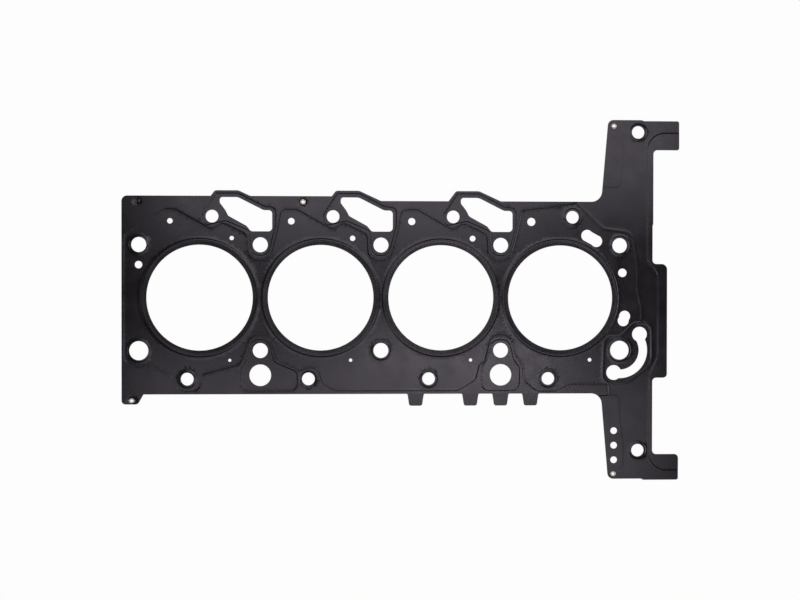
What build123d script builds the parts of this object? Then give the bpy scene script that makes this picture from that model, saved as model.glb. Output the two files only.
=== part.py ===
"""Cylinder head gasket for a four-cylinder in-line engine with a chain case at its front end.

Two steel sheets are riveted together. The lower one, the carrier sheet, sets the thickness
and has the thickness-code teeth on its edge. The upper one is thin spring steel with a
pressed bead round every cylinder. A flat stopper ring lies between the sheets at each
cylinder, under the rim inside the bead.

Millimetres. The gasket lies flat: +Z is up, z = 0 is the face towards the cylinder block,
and the origin is the axis of cylinder 1, the one beside the chain case. The cylinders
run from there towards -X, and +Y is the side with the window-shaped openings.
"""
import os

from build123d import *

os.makedirs("parts", exist_ok=True)

# ---- sheet stack -----------------------------------------------------------------------
carrier_thickness = 0.80
stopper_thickness = 0.12
bead_sheet_thickness = 0.25
bore_bead_height = 0.20  # crest above the rim that lies on the stopper

# ---- cylinders -------------------------------------------------------------------------
cylinder_count = 4
bore_pitch = 99.5
bore_hole_radius = 43.55
rim_width = 2.55  # flat rim between the cylinder hole and its bead
bore_bead_width = 3.2
stopper_clearance = 0.3  # between the stopper and the inner foot of the bead
stopper_setback = 0.3  # between the cylinder hole and the stopper

# ---- bolts and dowels ------------------------------------------------------------------
head_bolt_hole_radius = 6.2
head_bolt_row_spacing = 87.2
dowel_hole_radius = 7.85
side_bolt_hole_radius = 5.25
side_bolt_row_spacing = 134.1
side_bolt_shift = 10.15  # along the engine, away from the cylinder's axis
flange_bolt_hole_radius = 5.25
flange_bolt_spacing = 265.0
flange_bolt_x = 65.1
flange_bolt_mid_y = 5.4

# ---- coolant and oil passages ----------------------------------------------------------
outer_passage_radii = (3.38, 2.95, 2.73, 2.24)  # from cylinder 1 to cylinder 4
outer_passage_x = -24.3
outer_passage_y = 63.1
web_passage_radii = (2.40, 2.22, 1.77)
web_passage_x = -73.2
web_passage_y = 49.1
lower_passage_radii = (1.55, 1.35, 1.35, 1.25)
lower_passage_x = 24.7
lower_passage_y = -51.6
front_passage_radius = 3.55
front_passage_place = (52.1, 20.9)
rear_passage_radius = 3.05
rear_passage_inset = 13.9  # from the rear edge
rear_passage_y = 27.1
oil_return_radius = 8.9
oil_return_y = -63.95
chain_oil_radius = 2.8
chain_oil_count = 3
chain_oil_pitch = 12.15
chain_oil_place = (45.1, -122.9)  # the middle one of the row

# twin holes: the centres of both ends and their radius
twin_holes = (
    (((22.4, 51.8), (30.2, 47.2)), 4.85),
    (((54.1, -15.3), (52.9, -19.0)), 4.6),
)
twin_waist = 0.3  # the slot between the ends is this much narrower on each side

# curved opening round the front dowel
collar_radius = 16.2  # outside of the collar left round the dowel
curved_opening_width = 7.1
curved_opening_bulb_radius = 6.2
curved_opening_bulbs = ((66.6, -30.3), (45.0, -62.2))

# ---- window-shaped openings, one beside each web ---------------------------------------
window_count = 3
window_corners = (  # the front one: x, y and corner radius, clockwise from its rear end
    (-83.0, 82.8, 3.3),
    (-68.2, 82.8, 8.0),
    (-47.0, 72.1, 6.0),
    (-40.0, 72.1, 3.0),
    (-40.0, 54.7, 3.3),
    (-57.4, 54.7, 3.2),
    (-61.2, 59.3, 3.2),
    (-76.1, 67.5, 3.2),
    (-78.4, 72.1, 2.4),
    (-83.0, 78.2, 2.0),
)

# ---- outline ---------------------------------------------------------------------------
rear_margin = 63.8  # behind the axis of the last cylinder
lower_edge_y = -79.6
upper_edge_y = 80.0
upper_edge_rear_y = 83.8
hump_top_y = 88.4
hump_rear_x = -87.0
hump_front_x = -67.8
hump_rear_slope = 0.75  # run for each mm of height
hump_front_slope = 2.15
rear_tab_y = -87.8
rear_tab_length = 13.3
rear_tab_slope = 0.56
edge_corner_radius = 3.3
bulge_corner_radius = 4.6
flange_corner_radius = 4.8
flange_root_radius = 9.0
hump_corner_radii = (3.0, 6.0, 4.0)
chain_case_rear_x = 34.2  # where the chain case flanges leave the long edges
flange_lean = 0.085  # their rear edges lean forward by this much for each mm
chain_case_front_x = 77.4
chain_case_bulge_x = 89.7
bulge_top_y = 28.3
bulge_bottom_y = -66.6
upper_flange_top_y = 148.1
upper_flange_step_y = 147.3
upper_tongue_x = 99.6
upper_tongue_y = 123.1
lower_flange_bottom_y = -151.9
lower_flange_step_y = -150.9
lower_tongue_x = 99.3
lower_tongue_y = -130.4
upper_side_x = 77.95  # front edge above the bulge
front_step_y = 61.0
flange_step_x = 69.0  # small step in the outer edge of both flanges
step_run = 1.0  # half the length of a small step's slope
tongue_tip_radius = 1.8

# ---- thickness-code teeth on the carrier sheet -----------------------------------------
tooth_places = (-24.8, -49.8, -74.9, -120.4)
tooth_tip_y = -89.5
tooth_tip_width = 10.6
tooth_root_width = 13.6
tooth_tip_radius = 1.9
tooth_root_radius = 2.2

# ---- rivets ----------------------------------------------------------------------------
rear_rivet_inset = (8.2, 3.0)  # from the rear edge and from the bottom of the tab
upper_rivet_shift = (-14.6, 79.0)  # along from cylinder 3, and its height
upper_flange_rivet_place = (44.8, 143.1)
lower_flange_rivet_place = (44.7, -146.7)
rivet_shank_radius = 1.6
rivet_bore_radius = 1.1
rivet_head_radius = 2.15
rivet_head_height = 0.2

# ---- clearances and facets -------------------------------------------------------------
carrier_setback = 0.8  # the carrier's edge lies this far inside the upper sheet's
carrier_ease = 0.3  # openings in the carrier, bolt holes apart, are this much larger all round
passage_sides = 10  # small passages are flat-sided, to keep the solids light
bolt_hole_sides = 12  # in the upper sheet; the round wall is the carrier's
twin_sides = 16
eased_sides = 6
eased_opening_sides = 8
rivet_sides = 8
stopper_sides = 24

# ---- levels and radii that follow ------------------------------------------------------
sheet_bottom = carrier_thickness
sheet_top = sheet_bottom + bead_sheet_thickness
rim_bottom = sheet_bottom + stopper_thickness
rim_top = rim_bottom + bead_sheet_thickness
bead_inner_radius = bore_hole_radius + rim_width
bead_crest_radius = bead_inner_radius + bore_bead_width / 2
bead_outer_radius = bead_inner_radius + bore_bead_width


def cylinder_x(cylinder):
    """Axis of a cylinder, counted from 0 at the front."""
    return -cylinder * bore_pitch


def repeated(x, y, count, shift=0.0):
    """Places that repeat from cylinder to cylinder."""
    return [(x + shift + cylinder_x(k), y) for k in range(count)]


def disc(radius, sides=None):
    """A true circle, or a polygon whose flat sides touch that circle."""
    if sides is None:
        return Circle(radius)
    return RegularPolygon(radius, sides, major_radius=False)


def holes(places, radius, sides=None):
    """The same disc at every place."""
    return [Pos(x, y) * disc(radius, sides) for x, y in places]


def rounded_face(corners):
    """A face whose outline turns at each (x, y, radius)."""
    points = [(x, y) for x, y, _ in corners]
    radii = [radius for _, _, radius in corners]
    return make_face(FilletPolyline(*points, radius=radii, close=True))


def plain_face(corners, growth):
    """The same outline with sharp corners, grown or shrunk by a distance."""
    points = [(x, y) for x, y, _ in corners]
    face = make_face(Polyline(*points, close=True))
    return offset(face, amount=growth, kind=Kind.INTERSECTION)


rear_edge_x = cylinder_x(cylinder_count - 1) - rear_margin

# ---- hole places -----------------------------------------------------------------------
rivet_places = {
    "rivet_rear": (rear_edge_x + rear_rivet_inset[0], rear_tab_y + rear_rivet_inset[1]),
    "rivet_upper": (cylinder_x(2) + upper_rivet_shift[0], upper_rivet_shift[1]),
    "rivet_upper_flange": upper_flange_rivet_place,
    "rivet_lower_flange": lower_flange_rivet_place,
}
cylinder_places = repeated(0, 0, cylinder_count)
upper_row_y = head_bolt_row_spacing / 2
head_bolt_places = repeated(bore_pitch / 2, upper_row_y, cylinder_count + 1)
head_bolt_places += repeated(-bore_pitch / 2, -upper_row_y, cylinder_count - 1)
dowel_places = [(bore_pitch / 2, -upper_row_y)]
dowel_places += [(bore_pitch / 2 + cylinder_x(cylinder_count), -upper_row_y)]
side_row_y = side_bolt_row_spacing / 2
side_bolt_places = repeated(side_bolt_shift, side_row_y, cylinder_count)
side_bolt_places += repeated(-side_bolt_shift, -side_row_y, cylinder_count)
flange_bolt_places = [
    (flange_bolt_x, flange_bolt_mid_y + flange_bolt_spacing / 2),
    (flange_bolt_x, flange_bolt_mid_y - flange_bolt_spacing / 2),
]
bolt_holes = [
    (head_bolt_places, head_bolt_hole_radius),
    (side_bolt_places, side_bolt_hole_radius),
    (flange_bolt_places, flange_bolt_hole_radius),
]
oil_return_places = [(cylinder_x(k + 0.5), oil_return_y) for k in (0, 2)]
chain_oil_places = [
    (chain_oil_place[0], chain_oil_place[1] + (k - (chain_oil_count - 1) / 2) * chain_oil_pitch)
    for k in range(chain_oil_count)
]


def passages():
    """Every small round passage as (place, radius)."""
    rows = [
        (outer_passage_x, outer_passage_y, outer_passage_radii),
        (web_passage_x, web_passage_y, web_passage_radii),
        (lower_passage_x, lower_passage_y, lower_passage_radii),
    ]
    found = []
    for x, y, radii in rows:
        found += list(zip(repeated(x, y, len(radii)), radii))
    found += [(front_passage_place, front_passage_radius)]
    found += [((rear_edge_x + rear_passage_inset, rear_passage_y), rear_passage_radius)]
    found += [(place, chain_oil_radius) for place in chain_oil_places]
    return found


def hump(index, rear_level, front_level):
    """The rise of the upper edge over a window, from the rear to the front."""
    shift = cylinder_x(index)
    return [
        (hump_rear_x + shift - (hump_top_y - rear_level) * hump_rear_slope, rear_level, 0),
        (hump_rear_x + shift, hump_top_y, hump_corner_radii[0]),
        (hump_front_x + shift, hump_top_y, hump_corner_radii[1]),
        (hump_front_x + shift + (hump_top_y - front_level) * hump_front_slope, front_level,
         hump_corner_radii[2]),
    ]


def flange_x(y):
    """Rear edge of a chain case flange, which leans forward away from the long edges."""
    rise = max(y - upper_edge_y, lower_edge_y - y)
    return chain_case_rear_x + rise * flange_lean


def outline():
    """Corners of the outline, clockwise from the tab at the rear."""
    tab_x = rear_edge_x + rear_tab_length
    tab_root_x = tab_x + (lower_edge_y - rear_tab_y) * rear_tab_slope
    corners = [
        (tab_x, rear_tab_y, edge_corner_radius),
        (rear_edge_x, rear_tab_y, edge_corner_radius),
        (rear_edge_x, upper_edge_rear_y, bulge_corner_radius),
    ]
    corners += hump(2, upper_edge_rear_y, upper_edge_rear_y)
    corners += hump(1, upper_edge_rear_y, upper_edge_y)
    corners += hump(0, upper_edge_y, upper_edge_y)
    corners += [
        (chain_case_rear_x, upper_edge_y, flange_root_radius),
        (flange_x(upper_flange_top_y), upper_flange_top_y, flange_corner_radius),
        (flange_step_x - step_run, upper_flange_top_y, 0),
        (flange_step_x + step_run, upper_flange_step_y, 0),
        (upper_tongue_x, upper_flange_step_y, tongue_tip_radius),
        (upper_tongue_x, upper_tongue_y, tongue_tip_radius),
        (upper_side_x, upper_tongue_y, edge_corner_radius),
        (upper_side_x, front_step_y + step_run, 0),
        (chain_case_front_x, front_step_y - step_run, 0),
        (chain_case_front_x, bulge_top_y, edge_corner_radius),
        (chain_case_bulge_x, bulge_top_y, bulge_corner_radius),
        (chain_case_bulge_x, bulge_bottom_y, edge_corner_radius),
        (chain_case_front_x, bulge_bottom_y, edge_corner_radius),
        (chain_case_front_x, lower_tongue_y, edge_corner_radius),
        (lower_tongue_x, lower_tongue_y, edge_corner_radius),
        (lower_tongue_x, lower_flange_bottom_y, tongue_tip_radius),
        (flange_step_x + step_run, lower_flange_bottom_y, 0),
        (flange_step_x - step_run, lower_flange_step_y, 0),
        (flange_x(lower_flange_step_y), lower_flange_step_y, flange_corner_radius),
        (chain_case_rear_x, lower_edge_y, flange_root_radius),
        (tab_root_x, lower_edge_y, 0),
    ]
    return corners


def curved_opening(growth=0.0, sides=None):
    """The opening that bends round the front dowel's collar and swells at both ends."""
    centre = Vector(*dowel_places[0])
    upper, lower = [Vector(*bulb) - centre for bulb in curved_opening_bulbs]
    outer_radius = collar_radius + curved_opening_width + growth
    reach = 2 * outer_radius
    to_upper, to_lower = upper.normalized() * reach, lower.normalized() * reach
    sector = make_face(Polyline((0, 0), to_upper, to_upper + to_lower, to_lower, close=True))
    bulb = disc(curved_opening_bulb_radius + growth, sides)
    band = (disc(outer_radius, sides) & sector) - disc(collar_radius - growth, sides)
    return Pos(centre) * (band + [Pos(upper) * bulb, Pos(lower) * bulb])


def twin_hole(centres, radius, growth=0.0, sides=None):
    """Two round holes joined by a slightly narrower slot."""
    ends = holes(centres, radius + growth, sides)
    first, second = [Vector(*place) for place in centres]
    across = (second - first).normalized().rotate(Axis.Z, 90) * (radius + growth - twin_waist)
    slot = Polyline(first + across, second + across, second - across, first - across, close=True)
    return make_face(slot) + ends


def sheet_openings():
    """Every opening of the upper sheet but the cylinder and bolt holes."""
    found = [Pos(cylinder_x(k), 0) * rounded_face(window_corners) for k in range(window_count)]
    found += [curved_opening()]
    found += [twin_hole(*twin, sides=twin_sides) for twin in twin_holes]
    found += holes(oil_return_places, oil_return_radius)
    for place, radius in passages():
        found += holes([place], radius, passage_sides)
    return found


def carrier_openings():
    """The same openings in the carrier, a little larger and with plainer outlines."""
    eased_window = plain_face(window_corners, carrier_ease)
    found = [Pos(cylinder_x(k), 0) * eased_window for k in range(window_count)]
    found += [curved_opening(carrier_ease, eased_opening_sides)]
    found += [twin_hole(*twin, carrier_ease, eased_opening_sides) for twin in twin_holes]
    found += holes(oil_return_places, oil_return_radius + carrier_ease, eased_opening_sides)
    for place, radius in passages():
        found += holes([place], radius + carrier_ease, eased_sides)
    return found


def bolt_openings(sides=None):
    """The holes that the bolts go through, of one size in both sheets."""
    return sum((holes(places, radius, sides) for places, radius in bolt_holes), [])


def rivet_holes():
    """Holes in both sheets that the rivet shanks fill."""
    return holes(rivet_places.values(), rivet_shank_radius, rivet_sides)


def formed_rim():
    """The pressed ring round a cylinder: the raised rim, the ridge and the foot on the carrier."""
    crest_top = rim_top + bore_bead_height
    section = Polyline(
        (bore_hole_radius, rim_bottom),
        (bead_inner_radius, rim_bottom),
        (bead_crest_radius, crest_top - bead_sheet_thickness),
        (bead_outer_radius, sheet_bottom),
        (bead_outer_radius, sheet_top),
        (bead_crest_radius, crest_top),
        (bead_inner_radius, rim_top),
        (bore_hole_radius, rim_top),
        close=True,
    )
    return revolve(make_face(Plane.XZ * section), Axis.Z)


def beaded_sheet():
    """The upper sheet, with a formed rim let into its flat at each cylinder."""
    flat = rounded_face(outline()) - sheet_openings() - rivet_holes()
    flat -= holes(cylinder_places, bead_outer_radius)
    flat -= holes(dowel_places, dowel_hole_radius)
    flat -= bolt_openings(bolt_hole_sides)
    sheet = Pos(0, 0, sheet_bottom) * extrude(flat, bead_sheet_thickness)
    rim = formed_rim()
    return sheet + [Pos(x, y) * rim for x, y in cylinder_places]


def tooth(x):
    """One thickness-code tooth with rounded tips and roots."""
    half_tip = tooth_tip_width / 2
    half_root = tooth_root_width / 2
    inside = lower_edge_y + tooth_root_radius
    flare = half_root + tooth_root_radius
    corners = [
        (x - flare, inside, 0),
        (x - flare, lower_edge_y, 0),
        (x - half_root, lower_edge_y, tooth_root_radius),
        (x - half_tip, tooth_tip_y, tooth_tip_radius),
        (x + half_tip, tooth_tip_y, tooth_tip_radius),
        (x + half_root, lower_edge_y, tooth_root_radius),
        (x + flare, lower_edge_y, 0),
        (x + flare, inside, 0),
    ]
    return rounded_face(corners)


def carrier_sheet():
    """The lower sheet, which carries the teeth and has eased openings."""
    flat = plain_face(outline(), -carrier_setback) + [tooth(x) for x in tooth_places]
    flat = flat - carrier_openings() - bolt_openings() - rivet_holes()
    flat -= holes(cylinder_places, bore_hole_radius)
    flat -= holes(dowel_places, dowel_hole_radius)
    return extrude(flat, carrier_thickness)


def stopper():
    """A flat ring between the sheets, which would be cut flat midway to the next cylinder."""
    ring = disc(bead_inner_radius - stopper_clearance, stopper_sides)
    ring -= disc(bore_hole_radius + stopper_setback, stopper_sides)
    ring &= Rectangle(bore_pitch - stopper_clearance, bore_pitch * 2)
    return Pos(0, 0, carrier_thickness) * extrude(ring, stopper_thickness)


def rivet():
    """A hollow rivet: a head on the upper sheet and a shank down to the block face."""
    head = extrude(disc(rivet_head_radius, rivet_sides), rivet_head_height)
    shank = extrude(disc(rivet_shank_radius, rivet_sides), sheet_top)
    bore = extrude(disc(rivet_bore_radius, rivet_sides), sheet_top + rivet_head_height)
    return shank + Pos(0, 0, sheet_top) * head - bore


def write(name, solid, colour):
    """One STEP file for a node."""
    solid.label = name
    solid.color = Color(*colour)
    export_step(solid, f"parts/{name}.step")


coating = (0.06, 0.06, 0.065)
steel = (0.62, 0.60, 0.54)

write("beaded_sheet", beaded_sheet(), coating)
write("carrier_sheet", carrier_sheet(), coating)
for number, (x, y) in enumerate(cylinder_places, start=1):
    write(f"combustion_stopper_{number}", Pos(x, y) * stopper(), steel)
for name, (x, y) in rivet_places.items():
    write(name, Pos(x, y) * rivet(), steel)
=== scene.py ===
"""Looks of a cylinder head gasket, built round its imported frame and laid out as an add-on.

Sizes and places are in millimetres, in the part's own frame, and turn to metres when a mesh
is made. The origin is the axis of cylinder 1, beside the chain case; +X points to the chain
case, +Y to the side with the windows, and z = 0 is the face towards the cylinder block.
"""

import bpy
import numpy as np
from mathutils.geometry import delaunay_2d_cdt
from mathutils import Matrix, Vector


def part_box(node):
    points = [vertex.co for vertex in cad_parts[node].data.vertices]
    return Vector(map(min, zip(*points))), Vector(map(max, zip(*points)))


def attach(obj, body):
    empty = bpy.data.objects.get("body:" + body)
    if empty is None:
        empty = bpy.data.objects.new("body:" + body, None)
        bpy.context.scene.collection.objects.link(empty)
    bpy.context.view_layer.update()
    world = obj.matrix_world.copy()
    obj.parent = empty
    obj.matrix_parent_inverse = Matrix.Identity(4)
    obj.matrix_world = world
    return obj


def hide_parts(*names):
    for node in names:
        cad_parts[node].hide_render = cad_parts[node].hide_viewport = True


bl_info = {
    "name": "Cylinder head gasket",
    "version": (1, 0, 0),
    "blender": (4, 5, 0),
    "location": "3D View > Sidebar > Gasket",
    "description": "Builds the pressed sheets, stopper rings and rivets of a head gasket",
    "category": "Add Mesh",
}

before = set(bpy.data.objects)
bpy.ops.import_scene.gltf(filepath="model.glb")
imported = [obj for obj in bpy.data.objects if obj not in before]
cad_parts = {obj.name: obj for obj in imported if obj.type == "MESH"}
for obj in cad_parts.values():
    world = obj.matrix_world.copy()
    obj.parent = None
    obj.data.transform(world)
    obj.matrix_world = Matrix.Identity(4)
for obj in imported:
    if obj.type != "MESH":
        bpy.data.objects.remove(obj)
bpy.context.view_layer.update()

MM = 0.001
BODY = "root"


def span(node):
    """Lowest and highest corner of a node of the frame, in millimetres."""
    low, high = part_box(node)
    return np.array(low) / MM, np.array(high) / MM


def middle(node):
    """Centre of a node of the frame in plan, in millimetres."""
    low, high = span(node)
    return tuple(((low + high) / 2)[:2])


# ---- taken from the frame ----
CYLINDER_COUNT = 4
STOPPERS = tuple(f"combustion_stopper_{k + 1}" for k in range(CYLINDER_COUNT))
RIVETS = ("rivet_rear", "rivet_upper", "rivet_upper_flange", "rivet_lower_flange")
CARRIER_TOP = span("carrier_sheet")[1][2]
STOPPER_TOP = span(STOPPERS[0])[1][2]
CREST_TOP = span("beaded_sheet")[1][2]
RIVET_TOP = span(RIVETS[0])[1][2]
REAR_EDGE = span("beaded_sheet")[0][0]
PITCH = middle(STOPPERS[0])[0] - middle(STOPPERS[1])[0]
CYLINDERS = [(-k * PITCH, 0.0) for k in range(CYLINDER_COUNT)]

# ---- sheets ----
SHEET_THICKNESS = 0.25
BORE_RADIUS = 43.55
LOWER_EDGE = -79.6
UPPER_EDGE = 80.0
UPPER_EDGE_REAR = 83.8
HUMP_TOP = 88.4
HUMP_ENDS = (-87.0, -67.8)  # of its top, over the window beside cylinder 1
HUMP_REAR_RUN = 0.75  # length along X for each millimetre that the hump's side rises
HUMP_FRONT_RUN = 2.15
FLANGE_ROOT = 34.2
FLANGE_LEAN = 0.085  # how far its rear side comes forward for each millimetre outwards
CARRIER_SETBACK = 0.8  # its edge lies this far inside the upper sheet's
CARRIER_EASE = 0.3  # its windows, slots and passages are larger by this all round
TEETH = (-24.8, -49.8, -74.9, -120.4)
TOOTH_ROOT = 9.0  # half its width on the carrier's edge
TOOTH_SIDE = [(8.9, LOWER_EDGE, 0.0), (6.8, LOWER_EDGE, 2.2), (5.3, -89.5, 1.9)]
STOPPER_RADIUS = 45.75
STOPPER_SETBACK = 0.3  # its hole is this much larger than the sheets'

# ---- round holes: radius and places ----
DOWEL_HOLE_RADIUS = 7.85
RIVET_HOLE_RADIUS = 1.6
BOLT_ROW = 43.6
SIDE_ROW = 67.05
SIDE_SHIFT = 10.15
OIL_RETURN_ROW = -63.95
DOWELS = [(PITCH / 2, -BOLT_ROW), (PITCH / 2 - CYLINDER_COUNT * PITCH, -BOLT_ROW)]
FLANGE_BOLTS = [(65.1, 137.9), (65.1, -127.1)]


def repeated(x, y, count):
    """Places that repeat at the cylinder pitch, counted from the chain case."""
    return [(x - k * PITCH, y) for k in range(count)]


BOLT_HOLES = [
    (6.2, repeated(PITCH / 2, BOLT_ROW, 5) + repeated(-PITCH / 2, -BOLT_ROW, 3)),
    (5.25, repeated(SIDE_SHIFT, SIDE_ROW, 4) + repeated(-SIDE_SHIFT, -SIDE_ROW, 4)),
    (5.25, FLANGE_BOLTS),
]
PASSAGES = [
    (radius, [place])
    for x, y, radii in (
        (-24.3, 63.1, (3.38, 2.95, 2.73, 2.24)),
        (-73.2, 49.1, (2.40, 2.22, 1.77)),
        (24.7, -51.6, (1.55, 1.35, 1.35, 1.25)),
    )
    for radius, place in zip(radii, repeated(x, y, len(radii)))
]
PASSAGES += [
    (3.55, [(52.1, 20.9)]),
    (3.05, [(REAR_EDGE + 13.9, 27.1)]),
    (8.9, [(-PITCH / 2, OIL_RETURN_ROW), (-PITCH * 2.5, OIL_RETURN_ROW)]),
    (2.8, [(45.1, -122.9 + row * 12.15) for row in (-1, 0, 1)]),
]
TWIN_HOLES = [
    (((22.4, 51.8), (30.2, 47.2)), 4.85),
    (((54.1, -15.3), (52.9, -19.0)), 4.6),
]
TWIN_WAIST = 0.3  # the slot between the ends is this much narrower on each side
COLLAR_RADIUS = 16.2
COLLAR_OPENING = 7.1  # width of the curved opening round the front dowel's collar
COLLAR_BULBS = ((66.6, -30.3), (45.0, -62.2))
COLLAR_BULB_RADIUS = 6.2

# ---- corners of openings and pressed lines: x, y and corner radius ----
WINDOW = [
    (-83.0, 82.8, 3.3), (-68.2, 82.8, 8.0), (-47.0, 72.1, 6.0), (-40.0, 72.1, 3.0),
    (-40.0, 54.7, 3.3), (-57.4, 54.7, 3.2), (-61.2, 59.3, 3.2), (-76.1, 67.5, 3.2),
    (-78.4, 72.1, 2.4), (-83.0, 78.2, 2.0),
]
WINDOW_LOOP = [
    (-85.8, 86.1, 1.5), (-67.5, 86.1, 6.0), (-46.5, 75.3, 6.0), (-37.0, 74.3, 4.5),
    (-37.0, 60.0, 12.0), (-43.7, 34.9, 7.0), (-57.2, 34.9, 7.0), (-58.7, 55.2, 5.0),
    (-78.0, 63.5, 5.0), (-95.8, 59.4, 3.5), (-97.4, 68.6, 4.0),
]
REAR_OIL_LOOP = [
    (-265.3, -77.0, 5.5), (-265.3, -60.3, 8.0), (-259.8, -51.0, 6.0), (-256.4, -34.7, 7.0),
    (-241.8, -34.7, 7.0), (-237.8, -53.0, 7.0), (-218.3, -61.5, 5.0), (-218.3, -77.0, 6.0),
]
FRONT_OIL_LOOP = [
    (-65.6, -77.0, 6.0), (-65.6, -57.5, 6.0), (-61.3, -51.3, 5.0), (-56.8, -34.8, 7.0),
    (-42.8, -34.8, 7.0), (-38.8, -51.5, 7.0), (-33.9, -57.5, 6.0), (-33.9, -77.0, 7.0),
]
TOP_LINE_DIP = [  # past each window, from its rear side to its front side
    (-89.3, 56.0, 5.0), (-81.0, 61.9, 5.0), (-61.3, 52.3, 6.0), (-60.3, 30.4, 9.5),
    (-42.2, 30.4, 9.5), (-35.7, 55.5, 12.0),
]
TOP_LINE_PEAK = [(-32.4, 72.8, 4.5), (-20.0, 73.0, 8.0)]  # between two windows
COOLANT_REAR = [(-360.3, 51.0, 4.0), (-327.2, 73.2, 6.0)]
COOLANT_FRONT = [(-32.0, 72.6, 4.5), (-13.0, 74.6, 20.0), (12.0, 78.4, 8.0), (24.0, 90.0, 0.0)]
AROUND_UPPER_FLANGE = [(20.0, 165.0, 0.0), (110.0, 165.0, 0.0)]
TIMING_LINE = [
    (110.0, 137.3, 0.0), (73.0, 137.3, 14.5), (73.0, 31.5, 8.0), (81.9, 20.5, 9.0),
    (81.9, -49.0, 12.0), (74.5, -65.0, 12.0), (74.5, -143.8, 15.0), (110.0, -143.8, 0.0),
]
AROUND_LOWER_FLANGE = [(110.0, -165.0, 0.0), (20.0, -165.0, 0.0), (20.0, -81.5, 0.0)]
BOTTOM_LINE = [
    (40.5, -81.5, 2.0), (40.5, -71.9, 3.0), (8.0, -71.9, 9.0), (-4.0, -77.6, 9.0),
    (-20.5, -77.6, 11.0), (-30.7, -67.5, 8.0), (-31.0, -56.5, 5.0), (-37.6, -47.0, 8.0),
    (-41.8, -30.7, 8.5), (-57.7, -30.7, 8.5), (-62.8, -52.0, 5.0), (-67.7, -56.0, 3.5),
    (-70.5, -68.0, 7.0), (-85.0, -77.0, 8.0), (-187.0, -77.0, 8.0), (-197.3, -71.0, 5.0),
    (-201.0, -60.0, 8.0), (-207.5, -57.4, 7.0), (-217.0, -60.8, 4.0), (-235.4, -52.3, 5.0),
    (-241.4, -30.9, 8.5), (-256.6, -30.9, 8.5), (-265.6, -55.2, 5.0), (-296.0, -63.4, 3.0),
    (-298.5, -77.3, 8.5), (-316.0, -77.3, 8.5), (-321.5, -64.0, 8.0), (-340.0, -55.8, 12.0),
    (-360.3, -53.3, 5.0),
]
FLANGE_STRIPS = [
    [
        (20.0, 139.0, 0.0), (52.9, 139.0, 4.5), (52.9, 111.0, 6.0), (51.3, 105.0, 6.0),
        (50.6, 92.0, 4.0), (20.0, 92.0, 0.0),
    ],
    [
        (20.0, -81.0, 0.0), (49.9, -81.0, 4.5), (49.9, -98.0, 20.0), (53.0, -120.0, 20.0),
        (53.0, -141.5, 3.0), (20.0, -141.5, 0.0),
    ],
]
STRIP_SHARE = 0.08  # the strips' step is this share of a half bead's
COLLAR_BEAD = [
    (50.8, -32.0, 4.0), (62.0, -20.8, 8.0), (76.9, -20.8, 9.0), (77.2, -55.6, 14.0),
    (56.0, -70.8, 8.0), (35.3, -72.2, 8.0), (37.0, -32.0, 9.0),
]
CHAIN_BEAD = [
    (11.0, 82.0, 0.0), (35.6, 57.7, 12.0), (60.7, 54.3, 9.5), (64.9, 26.0, 40.0),
    (65.1, 6.0, 30.0), (68.3, -8.0, 20.0), (68.4, -20.8, 0.0),
]

# ---- round pressed forms ----
# Raised discs round bolt and dowel holes that stand in a wet zone: radius and places.
RINGS = [
    (7.9, [(PITCH / 2, BOLT_ROW), (-PITCH * 3.5, BOLT_ROW), (-PITCH * 1.5, -BOLT_ROW)]),
    (7.25, [(SIDE_SHIFT, SIDE_ROW)] + [(-SIDE_SHIFT - k * PITCH, -SIDE_ROW) for k in (0, 1, 3)]),
    (9.4, DOWELS),
    (6.9, FLANGE_BOLTS),
]
# Discs pressed down in the raised parts: radius, half width of their slope and place.
BOLT_SEAT = (6.5, 0.5, (-SIDE_SHIFT - 2 * PITCH, -SIDE_ROW))
PUNCH_MARK = (1.9, 0.45, (-349.6, 79.7))
RIVET_SEAT = (2.9, 0.5)

# ---- spacing of points ----
LINE_STEP = 1.2  # along the upper sheet's outline and its pressed lines
OPENING_STEP = 0.7
HOLE_STEP = 0.9
RING_STEP = 1.6  # round a cylinder's bead
GRID = 3.6  # between the lines
CARRIER_LINE_STEP = 2.0
CARRIER_OPENING_STEP = 0.8
CARRIER_GRID = 9.0
MIN_ARC_STEPS = 4.5  # in each radian of an arc
ARC_ROOM = 0.49  # share of a side that one corner's arc may take
LOOP_CLEARANCE = 0.35  # no other point comes nearer to an edge's points
ROW_CLEARANCE = 0.26  # nor nearer to those of a pressed line
ROW_MARGIN = 0.3  # from the sheet's edges
GRID_MARGIN = 0.8
CARRIER_GRID_MARGIN = 1.2
RIM_ROW = 44.6  # radius of the row of points halfway across a cylinder's rim
RISE_ROWS = 8
FALL_ROWS = 7
ACROSS_LINE = np.array([-1.15, -0.8, -0.4, 0.0, 0.4, 0.8, 1.15])  # in half widths
ACROSS_LOW_BEAD = ([-1.65, -1.3, -0.95, -0.6, -0.3, 0.0], [0.3, 0.6, 0.95, 1.3, 1.65])
LOW_BEAD_CREST = 0.35  # half widths of the collar's and the chain side's bead
LOW_BEAD_FOOT = 1.6
LOW_BEAD_REACH = 4.0  # only points this near are looked at
SHARP_EDGE = np.radians(32.0)
RING_SHARP_EDGE = np.radians(40.0)
STOPPER_STEPS = 180
RIVET_STEPS = 48


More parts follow.
